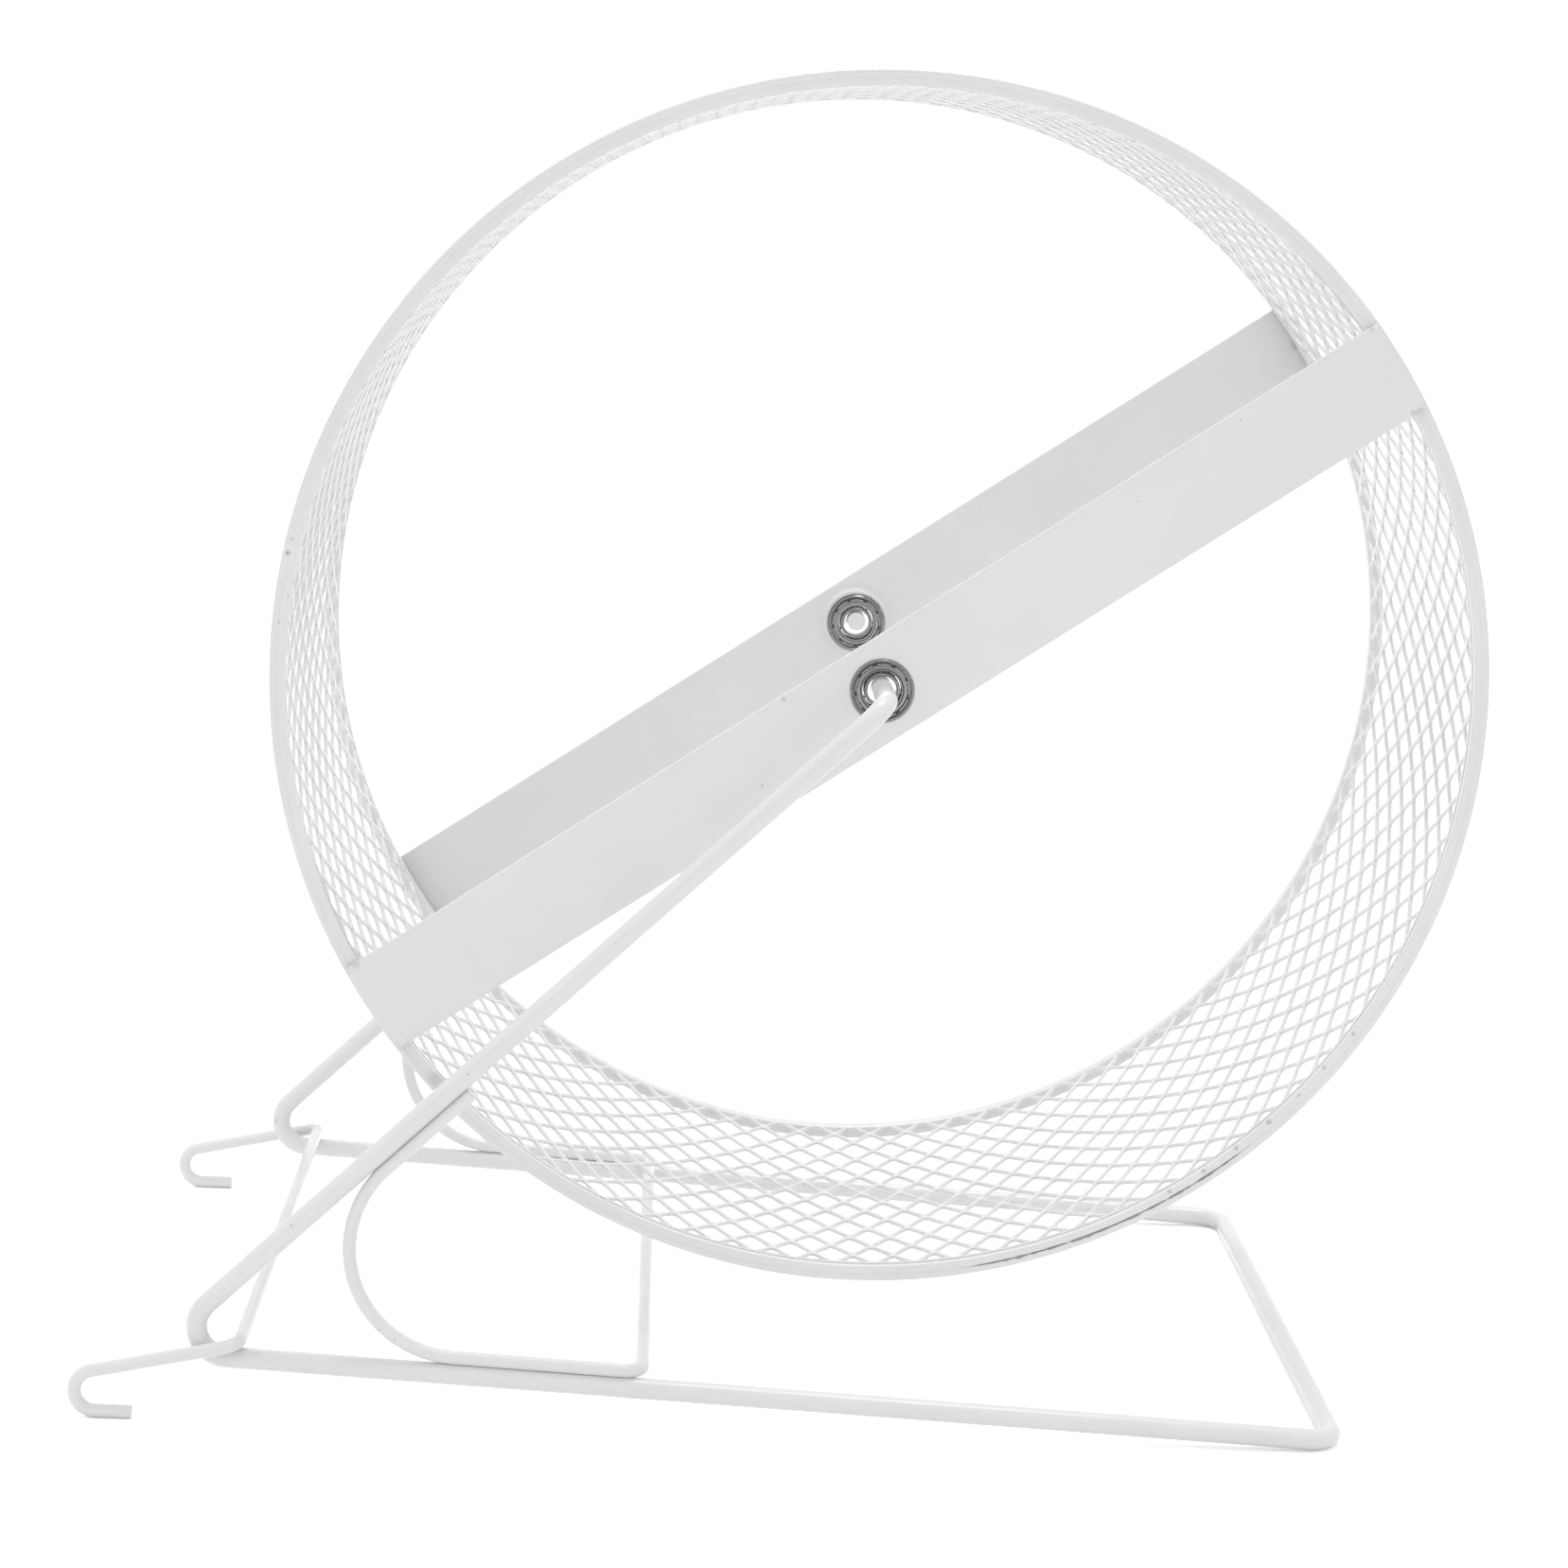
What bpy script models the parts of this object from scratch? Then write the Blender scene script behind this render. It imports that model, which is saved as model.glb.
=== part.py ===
"""A small pet's running wheel: an expanded metal drum on two ball bearings, hung on a bent wire stand.

Metres, +Z up. The wheel's axle runs along Y, and the front of the object faces -Y. The origin lies on
the ground, under the middle of the whole object. The stand is laid out in a frame of its own, with its
base rails level and the axle at zero. It is then tipped until it stands on its cross bar and its hooks.
"""

import math

import bmesh
import bpy
from mathutils import Matrix, Vector

# Fits
SEAT_GAP = 0.0003
SIDES = {"front": -1, "rear": 1}

# Drum: the two rims and the mesh that they carry
WHEEL_RADIUS = 0.125
WHEEL_WIDTH = 0.120
RIM_HEIGHT = 0.0032
RIM_THICKNESS = 0.0018
RIM_BEAD_HEIGHT = 0.0015
RIM_LIP_RECESS = 0.0003
RIM_ROUND = 0.0005
MESH_THICKNESS = 0.0008
MESH_STRAND = 0.0016
MESH_SELVEDGE = 0.0012
MESH_BULGE = 0.0007
MESH_CELLS_AROUND = 36
MESH_CELLS_ACROSS = 3

# Crossbars, one on the outside of each rim
BAR_WIDTH = 0.020
BAR_THICKNESS = 0.0015
BAR_END_INSET = 0.0006
BAR_ANGLE = math.radians(37.1)
BAR_END_STEPS = 4
COLLAR_WALL = 0.0008
COLLAR_DEPTH = 0.0022
CUT_OVERRUN = 0.001

# Bearings: the shielded miniature size, 6 x 13 x 5 mm
BEARING_BORE = 0.006
BEARING_DIAMETER = 0.013
BEARING_WIDTH = 0.005
BEARING_PROUD = 0.0003
BALL_DIAMETER = 0.002
BALL_COUNT = 7
BALL_CLEARANCE = 0.0001
INNER_LAND_RADIUS = 0.00385
OUTER_LAND_RADIUS = 0.0055
SHIELD_SEAT_WALL = 0.00065
SHIELD_THICKNESS = 0.0003
SHIELD_RECESS = 0.0003
SHIELD_FIT = 0.00015
CAGE_INNER_RADIUS = 0.0044
CAGE_OUTER_RADIUS = 0.0051
CAGE_POCKET_FIT = 0.00015
CAGE_BRIDGE = 0.00035
BEARING_SEGMENTS = 24
GROOVE_STEPS = 4
POCKET_CORNERS = 8

# Stand frame: one bent wire, from the front stub round the base to the rear stub
STAND_WIRE = 0.0043
STAND_BEND = 0.0064
ARM_OFFSET = 0.0246
ARM_SLOPE = math.radians(46.48)
WHEEL_CLEARANCE = 0.0183
RAIL_REACH = 0.105
STUB_OVERRUN = 0.0003

# Brace wire, inside the corners of the arms and the rails. Its lengths start at the arms' feet
THIN_WIRE = 0.0028
BRACE_ON_ARM = 0.084
BRACE_ON_RAIL = 0.099
BRACE_BEND = 0.0225
BRACE_CORNER_BEND = 0.004

# Hook wire, across the rails near the arms' feet, with a U hook on each end
HOOK_INSET = 0.0174
HOOK_SLOPE = math.radians(14.6)
HOOK_CORNER_BEND = 0.0036
HOOK_LEG = 0.030
HOOK_BEND = 0.0042
HOOK_TAIL = 0.0075

WIRE_SIDES = 8
BEND_STEP = math.radians(18)
SMOOTH_ANGLE = math.radians(40)
FULL_TURN = math.tau

# Worked out from the sizes above
RIM_INNER_RADIUS = WHEEL_RADIUS - RIM_HEIGHT
MESH_RADIUS = RIM_INNER_RADIUS + MESH_THICKNESS
MESH_END = WHEEL_WIDTH / 2 - RIM_THICKNESS - SEAT_GAP
BAR_INNER_FACE = WHEEL_WIDTH / 2 + SEAT_GAP
BAR_OUTER_FACE = BAR_INNER_FACE + BAR_THICKNESS
BEARING_RADIUS = BEARING_DIAMETER / 2
BEARING_PLACE = BAR_OUTER_FACE + BEARING_PROUD - BEARING_WIDTH / 2
BALL_RADIUS = BALL_DIAMETER / 2
PITCH_RADIUS = (BEARING_BORE + BEARING_DIAMETER) / 4
WIRE_SEAT = (STAND_WIRE + THIN_WIRE) / 2 + SEAT_GAP
FLAT_SHARE = math.cos(math.pi / WIRE_SIDES)
STUB_LIFT = BEARING_BORE / 2 - STAND_WIRE / 2 / FLAT_SHARE - SEAT_GAP
STUB_END = BEARING_PLACE - BEARING_WIDTH / 2 - STUB_OVERRUN
ARM_PLANE = BAR_OUTER_FACE + ARM_OFFSET
RAIL_DROP = WHEEL_RADIUS + WHEEL_CLEARANCE
FOOT_REACH = -(RAIL_DROP + STUB_LIFT) / math.tan(ARM_SLOPE)
HOOK_PLANE = ARM_PLANE + WIRE_SEAT
HOOK_REACH = FOOT_REACH + HOOK_INSET


def along(angle):
    """The direction in the XZ plane at this angle above +X."""
    return Vector((math.cos(angle), 0, math.sin(angle)))


def left_of(direction):
    """The direction a quarter turn on, in the XZ plane."""
    return Vector((-direction.z, 0, direction.x))


# The U of a hook, in the stand's own frame
LEG_DIRECTION = -along(HOOK_SLOPE)
HOOK_FOOT = Vector((HOOK_REACH, 0, -RAIL_DROP + WIRE_SEAT)) + LEG_DIRECTION * HOOK_LEG
HOOK_CENTRE = HOOK_FOOT + left_of(LEG_DIRECTION) * HOOK_BEND

# The stand tips until the cross bar and the hooks' tails meet the ground together
CROSS_BAR = Vector((RAIL_REACH, 0, -RAIL_DROP))
HOOK_TO_BAR = CROSS_BAR - HOOK_CENTRE
TILT = math.atan2(HOOK_TO_BAR.z, HOOK_TO_BAR.x) + math.asin(
    (HOOK_BEND + THIN_WIRE / 2 - STAND_WIRE / 2) / HOOK_TO_BAR.length
)
TIP = Matrix.Rotation(TILT, 4, "Y")
AXLE_HEIGHT = STAND_WIRE / 2 - (TIP @ CROSS_BAR).z
LEFT_END = min(-WHEEL_RADIUS, (TIP @ HOOK_CENTRE).x - HOOK_BEND - THIN_WIRE / 2)
RIGHT_END = max(WHEEL_RADIUS, (TIP @ CROSS_BAR).x + STAND_WIRE / 2)
AXLE = Vector((-(LEFT_END + RIGHT_END) / 2, 0, AXLE_HEIGHT))
STAND_PLACE = Matrix.Translation(AXLE) @ TIP


def clear_scene():
    for obj in list(bpy.data.objects):
        bpy.data.objects.remove(obj, do_unlink=True)


def material(name, colour, roughness, metallic):
    """A plain Principled material of this colour."""
    made = bpy.data.materials.new(name)
    made.use_nodes = True
    shader = made.node_tree.nodes["Principled BSDF"]
    shader.inputs["Base Color"].default_value = (*colour, 1)
    shader.inputs["Roughness"].default_value = roughness
    shader.inputs["Metallic"].default_value = metallic
    made.diffuse_color = (*colour, 1)
    return made


def axis_empty(name, place):
    """An empty on the axle, which carries the pieces that turn about it."""
    empty = bpy.data.objects.new(name, None)
    empty.location = place
    bpy.context.scene.collection.objects.link(empty)
    return empty


def outward_mesh(name, points, faces):
    """A mesh of these points and faces, with its faces turned outwards."""
    mesh = bpy.data.meshes.new(name)
    mesh.from_pydata([tuple(point) for point in points], [], faces)
    shaping = bmesh.new()
    shaping.from_mesh(mesh)
    bmesh.ops.recalc_face_normals(shaping, faces=shaping.faces[:])
    shaping.to_mesh(mesh)
    shaping.free()
    return mesh


def solid(name, points, faces, finish, parent=None, matrix=None):
    """A smooth-shaded object of these points and faces, placed by a parent, a matrix or both."""
    mesh = outward_mesh(name, points, faces)
    mesh.shade_smooth()
    mesh.set_sharp_from_angle(angle=SMOOTH_ANGLE)
    mesh.materials.append(finish)
    obj = bpy.data.objects.new(name, mesh)
    bpy.context.scene.collection.objects.link(obj)
    if parent:
        obj.parent = parent
    if matrix:
        obj.matrix_local = matrix
    return obj


def turned(profile, segments):
    """Points and faces of a closed (radius, Y) profile turned about the Y axis."""
    points = []
    faces = []
    size = len(profile)
    for step in range(segments):
        outward = along(FULL_TURN * step / segments)
        points += [outward * radius + Vector((0, y, 0)) for radius, y in profile]
        here = step * size
        there = (step + 1) % segments * size
        for corner in range(size):
            after = (corner + 1) % size
            faces.append((here + corner, here + after, there + after, there + corner))
    return points, faces


def curved_plate(loops, outside, inside):
    """A plate rolled about the Y axis, from loops of (share of a turn, Y) on it.

    outside and inside give the radius of its two skins at a Y. An edge that only one loop has becomes a
    wall.
    """
    points = []
    faces = []
    index = {}
    edges = {}

    def corner(share, y):
        key = (round(share % 1, 9) % 1, round(y, 9))
        if key not in index:
            index[key] = len(points)
            outward = along(FULL_TURN * key[0])
            points.append(outward * outside(y) + Vector((0, y, 0)))
            points.append(outward * inside(y) + Vector((0, y, 0)))
        return index[key]

    for loop in loops:
        ring = [corner(share, y) for share, y in loop]
        faces.append(ring)
        faces.append([number + 1 for number in reversed(ring)])
        for start, end in zip(ring, ring[1:] + ring[:1]):
            key = (min(start, end), max(start, end))
            edges[key] = edges.get(key, 0) + 1
    faces += [(a, a + 1, b + 1, b) for (a, b), count in edges.items() if count == 1]
    return points, faces


def framed(outline, hole):
    """The loops that fill the space between an outline and a hole with as many corners."""
    turns = range(len(outline))
    return [(outline[i - 1], outline[i], hole[i], hole[i - 1]) for i in turns]


def bent(corners, radii, rolls):
    """Rings (point, direction, roll) along a wire through these corners, each rounded to its radius.

    rolls gives the turn of the wire's section about itself on each straight stretch.
    """
    heading = (corners[1] - corners[0]).normalized()
    rings = [(corners[0], heading, rolls[0])]
    for place, corner in enumerate(corners[1:-1]):
        ahead = (corners[place + 2] - corner).normalized()
        turn = heading.angle(ahead)
        inward = (ahead - heading * ahead.dot(heading)).normalized()
        radius = radii[place]
        start = corner - heading * radius * math.tan(turn / 2)
        centre = start + inward * radius
        steps = max(2, math.ceil(turn / BEND_STEP))
        for step in range(steps + 1):
            share = step / steps
            angle = turn * share
            point = centre + (heading * math.sin(angle) - inward * math.cos(angle)) * radius
            direction = heading * math.cos(angle) + inward * math.sin(angle)
            rings.append((point, direction, rolls[place] * (1 - share) + rolls[place + 1] * share))
        heading = ahead
    rings.append((corners[-1], heading, rolls[-1]))
    return rings


def wire(name, rings, diameter, top, finish):
    """A wire along these rings. Its section has flats, and one of them faces top at the first ring."""
    radius = diameter / 2 / FLAT_SHARE
    points = []
    faces = []
    before = rings[0][1]
    for point, direction, roll in rings:
        top = before.rotation_difference(direction) @ top
        top = (top - direction * top.dot(direction)).normalized()
        before = direction
        upward = Matrix.Rotation(roll, 3, direction) @ top
        sideways = direction.cross(upward)
        for corner in range(WIRE_SIDES):
            angle = FULL_TURN * (corner + 1 / 2) / WIRE_SIDES
            points.append(point + (upward * math.cos(angle) + sideways * math.sin(angle)) * radius)
    for ring in range(len(rings) - 1):
        here = ring * WIRE_SIDES
        for corner in range(WIRE_SIDES):
            after = (corner + 1) % WIRE_SIDES
            lower = (here + corner, here + after)
            faces.append((*lower, lower[1] + WIRE_SIDES, lower[0] + WIRE_SIDES))
    faces.append(tuple(range(WIRE_SIDES)))
    faces.append(tuple(range(len(points) - WIRE_SIDES, len(points))))
    return solid(name, points, faces, finish, matrix=STAND_PLACE)


def mirrored(corners):
    """These corners of the front half, then the same ones on the rear half in reverse."""
    return corners + [Vector((corner.x, -corner.y, corner.z)) for corner in reversed(corners)]


def stand_frame(finish):
    corners = [
        Vector((0, -STUB_END, STUB_LIFT)),
        Vector((0, -ARM_PLANE, STUB_LIFT)),
        Vector((FOOT_REACH, -ARM_PLANE, -RAIL_DROP)),
        Vector((RAIL_REACH, -ARM_PLANE, -RAIL_DROP)),
    ]
    rolls = [0, 0, 0, -TILT, 0, 0, 0]
    rings = bent(mirrored(corners), [STAND_BEND] * 6, rolls)
    return wire("stand_frame", rings, STAND_WIRE, left_of(along(ARM_SLOPE)), finish)


def brace_wire(finish):
    arm = along(ARM_SLOPE)
    inside = -left_of(arm)
    foot = Vector((FOOT_REACH, -ARM_PLANE, -RAIL_DROP))
    beside_arm = foot + inside * WIRE_SEAT
    above_rail = foot.z + WIRE_SEAT
    corners = [
        beside_arm + arm * BRACE_ON_ARM,
        beside_arm + arm * (above_rail - beside_arm.z) / arm.z,
        Vector((foot.x + BRACE_ON_RAIL, foot.y, above_rail)),
    ]
    radii = [BRACE_BEND, BRACE_CORNER_BEND, BRACE_CORNER_BEND, BRACE_BEND]
    rings = bent(mirrored(corners), radii, [0] * 5)
    return wire("brace_wire", rings, THIN_WIRE, inside, finish)


def hook_wire(finish):
    level = along(TILT)
    tail_foot = HOOK_CENTRE - left_of(level) * HOOK_BEND
    turn = FULL_TURN / 2 - HOOK_SLOPE + TILT
    reach = HOOK_BEND / math.cos(turn / 4)
    lower = left_of(level) * -math.cos(turn / 4) - level * math.sin(turn / 4)
    upper = -left_of(LEG_DIRECTION) * math.cos(turn / 4) + LEG_DIRECTION * math.sin(turn / 4)
    outside = Vector((0, -HOOK_PLANE, 0))
    corners = [
        tail_foot + level * HOOK_TAIL + outside,
        HOOK_CENTRE + lower * reach + outside,
        HOOK_CENTRE + upper * reach + outside,
        Vector((HOOK_REACH, 0, -RAIL_DROP + WIRE_SEAT)) + outside,
    ]
    radii = [HOOK_BEND, HOOK_BEND, HOOK_CORNER_BEND]
    rolls = [0, 0, 0, HOOK_SLOPE, 0, 0, 0]
    rings = bent(mirrored(corners), radii + radii[::-1], rolls)
    return wire("hook_wire", rings, THIN_WIRE, -left_of(level), finish)


def rim(name, side, finish, axis):
    face = WHEEL_WIDTH / 2
    bead = WHEEL_RADIUS - RIM_BEAD_HEIGHT
    profile = [
        (RIM_INNER_RADIUS, face - RIM_THICKNESS),
        (RIM_INNER_RADIUS, face - RIM_LIP_RECESS),
        (bead, face - RIM_LIP_RECESS),
        (bead, face),
        (WHEEL_RADIUS - RIM_ROUND, face),
        (WHEEL_RADIUS, face - RIM_ROUND),
        (WHEEL_RADIUS, face - RIM_THICKNESS),
    ]
    placed = [(radius, side * y) for radius, y in profile]
    points, faces = turned(placed, 2 * MESH_CELLS_AROUND)
    return solid(name, points, faces, finish, axis)


def net_loops(edge, half_length, around):
    """The loops of the drum's net: a lattice of long diamonds, with half diamonds along both edges.

    edge is the Y of the last row of crossings, half_length is half a diamond along Y, and around is the
    net's length round the drum.
    """
    half_turn = 1 / MESH_CELLS_AROUND / 2
    half_width = around * half_turn
    slant = math.hypot(half_width, half_length)
    hole_share = 1 - MESH_STRAND / 2 * slant / (half_width * half_length)
    narrow = MESH_STRAND / 2 * slant / half_width
    base = MESH_STRAND / 2
    base_share = 1 - base / half_length - MESH_STRAND / 2 * slant / half_length / half_width
    loops = []
    rows = 2 * MESH_CELLS_ACROSS
    for row in range(rows + 1):
        y = -edge + row * half_length
        for cell in range(MESH_CELLS_AROUND):
            middle = (2 * cell + 1 + row % 2) * half_turn
            corners = [(middle + half_turn, y), (middle, y + half_length)]
            corners += [(middle - half_turn, y), (middle, y - half_length)]
            if 0 < row < rows:
                hole = [(middle + (s - middle) * hole_share, y + (v - y) * hole_share) for s, v in corners]
                loops += framed(corners, hole)
                continue
            inward = 1 if row == 0 else -1
            right, left = half_turn * base_share, -half_turn * base_share
            outline = [(middle + half_turn, y), (middle, y + inward * half_length)]
            outline += [(middle - half_turn, y), (middle, y)]
            hole = [(middle + right, y + inward * base), (middle, y + inward * (half_length - narrow))]
            hole += [(middle + left, y + inward * base), (middle, y + inward * base)]
            loops += framed(outline, hole)
            rim_side = y - inward * MESH_SELVEDGE
            for start in (middle - half_turn, middle):
                end = start + half_turn
                loops.append([(start, y), (end, y), (end, rim_side), (start, rim_side)])
    return loops


def running_mesh(finish, axis):
    """The drum's net, which ends at the backs of the rims with its inside level with their inner edges."""
    edge = MESH_END - MESH_SELVEDGE

    def outside(y):
        return MESH_RADIUS + MESH_BULGE * (1 - (y / MESH_END) ** 2)

    def inside(y):
        return outside(y) - MESH_THICKNESS

    loops = net_loops(edge, edge / MESH_CELLS_ACROSS, FULL_TURN * MESH_RADIUS)
    points, faces = curved_plate(loops, outside, inside)
    return solid("running_mesh", points, faces, finish, axis)


def cutter(name, radius, low, high, axis):
    """A hidden cylinder along Y, from low to high, which shapes a crossbar."""
    points = []
    for y in (low, high):
        for step in range(BEARING_SEGMENTS):
            points.append(along(FULL_TURN * step / BEARING_SEGMENTS) * radius + Vector((0, y, 0)))
    ring = list(range(BEARING_SEGMENTS))
    faces = [tuple(ring), tuple(number + BEARING_SEGMENTS for number in ring)]
    for here, after in zip(ring, ring[1:] + ring[:1]):
        faces.append((here, after, after + BEARING_SEGMENTS, here + BEARING_SEGMENTS))
    obj = bpy.data.objects.new(name, outward_mesh(name, points, faces))
    obj.hide_render = True
    obj.display_type = "WIRE"
    bpy.context.scene.collection.objects.link(obj)
    obj.parent = axis
    return obj


def crossbar(name, side, finish, axis):
    """A flat bar across the wheel, its ends cut to the rim, with a drawn collar round its bearing."""
    reach = WHEEL_RADIUS - BAR_END_INSET
    half_angle = math.asin(BAR_WIDTH / 2 / reach)
    outline = []
    for start in (0, FULL_TURN / 2):
        for step in range(BAR_END_STEPS + 1):
            angle = start - half_angle + 2 * half_angle * step / BAR_END_STEPS
            outline.append(along(angle) * reach)
    size = len(outline)
    points = []
    for y in (BAR_INNER_FACE, BAR_OUTER_FACE):
        points += [point + Vector((0, side * y, 0)) for point in outline]
    faces = [tuple(range(size)), tuple(range(size, 2 * size))]
    for corner in range(size):
        after = (corner + 1) % size
        faces.append((corner, after, after + size, corner + size))
    obj = solid(name, points, faces, finish, axis, Matrix.Rotation(TILT - BAR_ANGLE, 4, "Y"))
    bore = (BEARING_RADIUS + SEAT_GAP) / math.cos(math.pi / BEARING_SEGMENTS)
    collar_end = BAR_INNER_FACE - COLLAR_DEPTH
    collar_ends = (side * collar_end, side * (BAR_INNER_FACE + BAR_THICKNESS / 2))
    cut_ends = (side * (collar_end - CUT_OVERRUN), side * (BAR_OUTER_FACE + CUT_OVERRUN))
    shapes = {
        "collar": ("UNION", bore + COLLAR_WALL, collar_ends),
        "bore": ("DIFFERENCE", bore, cut_ends),
    }
    for role, (operation, radius, ends) in shapes.items():
        boolean = obj.modifiers.new(role, "BOOLEAN")
        boolean.operation = operation
        boolean.solver = "EXACT"
        boolean.object = cutter(f"{name}_{role}", radius, *ends, axis)
    return obj


def groove(angle):
    """The (radius, Y) points of a ball groove, centred on the balls' circle, across this half angle."""
    reach = BALL_RADIUS + BALL_CLEARANCE
    points = []
    for step in range(GROOVE_STEPS + 1):
        turn = angle * (1 - 2 * step / GROOVE_STEPS)
        points.append((PITCH_RADIUS + reach * math.cos(turn), reach * math.sin(turn)))
    return points


def bearing_rings(prefix, finish, wheel_axis, place):
    """The two grooved rings of a bearing. The outer one turns with the wheel, and the inner one stays."""
    face = BEARING_WIDTH / 2
    step = face - SHIELD_RECESS - SHIELD_THICKNESS - SHIELD_FIT
    seat = BEARING_RADIUS - SHIELD_SEAT_WALL
    reach = BALL_RADIUS + BALL_CLEARANCE
    outer_angle = math.acos((OUTER_LAND_RADIUS - PITCH_RADIUS) / reach)
    inner_angle = math.acos((PITCH_RADIUS - INNER_LAND_RADIUS) / reach)
    mouth = [(seat, face), (seat, step), (OUTER_LAND_RADIUS, step)]
    outer = [(BEARING_RADIUS, face)] + mouth + groove(outer_angle)
    outer += [(radius, -y) for radius, y in reversed(mouth)] + [(BEARING_RADIUS, -face)]
    inner = [(BEARING_BORE / 2, face), (INNER_LAND_RADIUS, face)]
    inner += [(2 * PITCH_RADIUS - radius, y) for radius, y in groove(inner_angle)]
    inner += [(INNER_LAND_RADIUS, -face), (BEARING_BORE / 2, -face)]
    for role, profile, parent in (("outer", outer, wheel_axis), ("inner", inner, None)):
        points, faces = turned(profile, BEARING_SEGMENTS)
        name = f"{prefix}_bearing_{role}_ring"
        origin = place if parent else place + AXLE
        solid(name, points, faces, finish, parent, Matrix.Translation(origin))


def bearing_shields(prefix, side, finish, wheel_axis, place):
    """The two thin washers that close a bearing, held in the outer ring's steps."""
    outside = BEARING_WIDTH / 2 - SHIELD_RECESS
    rim_radius = BEARING_RADIUS - SHIELD_SEAT_WALL - SHIELD_FIT
    hole_radius = INNER_LAND_RADIUS + SHIELD_FIT
    for role, direction in (("outer", side), ("inner", -side)):
        faces_at = (direction * outside, direction * (outside - SHIELD_THICKNESS))
        profile = [(hole_radius, faces_at[0]), (rim_radius, faces_at[0])]
        profile += [(rim_radius, faces_at[1]), (hole_radius, faces_at[1])]
        points, faces = turned(profile, BEARING_SEGMENTS)
        name = f"{prefix}_bearing_{role}_shield"
        solid(name, points, faces, finish, wheel_axis, Matrix.Translation(place))


def bearing_cage(prefix, finish, ball_axis):
    """The ring that spaces the balls, with one window for each."""
    window = (BALL_RADIUS + CAGE_POCKET_FIT) / math.cos(math.pi / POCKET_CORNERS)
    half_width = BALL_RADIUS + CAGE_POCKET_FIT + CAGE_BRIDGE
    half_turn = 1 / BALL_COUNT / 2
    per_length = 1 / (FULL_TURN * PITCH_RADIUS)
    loops = []
    for ball in range(BALL_COUNT):
        middle = ball / BALL_COUNT
        outline = []
        hole = []
        for corner in range(POCKET_CORNERS):
            angle = FULL_TURN * (corner + 1 / 2) / POCKET_CORNERS
            across, up = math.cos(angle), math.sin(angle)
            side_on = abs(across) > abs(up)
            reach = half_turn if side_on else window * abs(across) * per_length
            rise = half_width * math.copysign(1, up)
            outline.append((middle + math.copysign(reach, across), rise))
            hole.append((middle + window * across * per_length, window * up))
        loops += framed(outline, hole)
    points, faces = curved_plate(loops, lambda y: CAGE_OUTER_RADIUS, lambda y: CAGE_INNER_RADIUS)
    return solid(f"{prefix}_bearing_cage", points, faces, finish, ball_axis)


def bearing_balls(prefix, finish, ball_axis):
    """The balls of one bearing, on their circle about the axle. They share one mesh."""
    mesh = bpy.data.meshes.new(f"{prefix}_ball")
    shaping = bmesh.new()
    bmesh.ops.create_icosphere(shaping, subdivisions=2, radius=BALL_RADIUS)
    shaping.to_mesh(mesh)
    shaping.free()
    mesh.shade_smooth()
    mesh.materials.append(finish)
    for ball in range(BALL_COUNT):
        obj = bpy.data.objects.new(f"{prefix}_bearing_ball_{ball + 1}", mesh)
        obj.parent = ball_axis
        obj.location = along(FULL_TURN * ball / BALL_COUNT) * PITCH_RADIUS
        bpy.context.scene.collection.objects.link(obj)


def build():
    clear_scene()
    coated = material("white_powder_coat", (0.80, 0.80, 0.80), 0.42, 0)
    ring_steel = material("bearing_ring_steel", (0.42, 0.41, 0.40), 0.28, 1)
    shield_steel = material("bearing_shield_steel", (0.48, 0.47, 0.46), 0.32, 1)
    cage_steel = material("bearing_cage_steel", (0.55, 0.52, 0.46), 0.35, 1)
    ball_steel = material("bearing_ball_steel", (0.62, 0.62, 0.63), 0.12, 1)
    wheel_axis = axis_empty("wheel_axis", AXLE)
    running_mesh(coated, wheel_axis)
    for prefix, side in SIDES.items():
        place = Vector((0, side * BEARING_PLACE, 0))
        ball_axis = axis_empty(f"{prefix}_ball_axis", AXLE + place)
        rim(f"{prefix}_rim", side, coated, wheel_axis)
        crossbar(f"{prefix}_crossbar", side, coated, wheel_axis)
        bearing_rings(prefix, ring_steel, wheel_axis, place)
        bearing_shields(prefix, side, shield_steel, wheel_axis, place)
        bearing_cage(prefix, cage_steel, ball_axis)
        bearing_balls(prefix, ball_steel, ball_axis)
    stand_frame(coated)
    brace_wire(coated)
    hook_wire(coated)
    place = ", ".join(f"{value:.5f}" for value in AXLE)
    print(f"axle at {place} m, tilt {math.degrees(TILT):.3f} degrees")


build()
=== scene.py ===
"""Looks of a small pet's running wheel: an expanded metal drum, two ball bearings and a bent wire stand.

Metres, +Z up. The wheel's axle runs along Y, and the front of the object faces -Y. The stand is laid out
in a frame of its own, with its base rails level and the axle at zero, and is then tipped into place.
"""

import math

import bmesh
import bpy
from mathutils import Matrix, Vector
from mathutils import noise as grain


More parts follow.
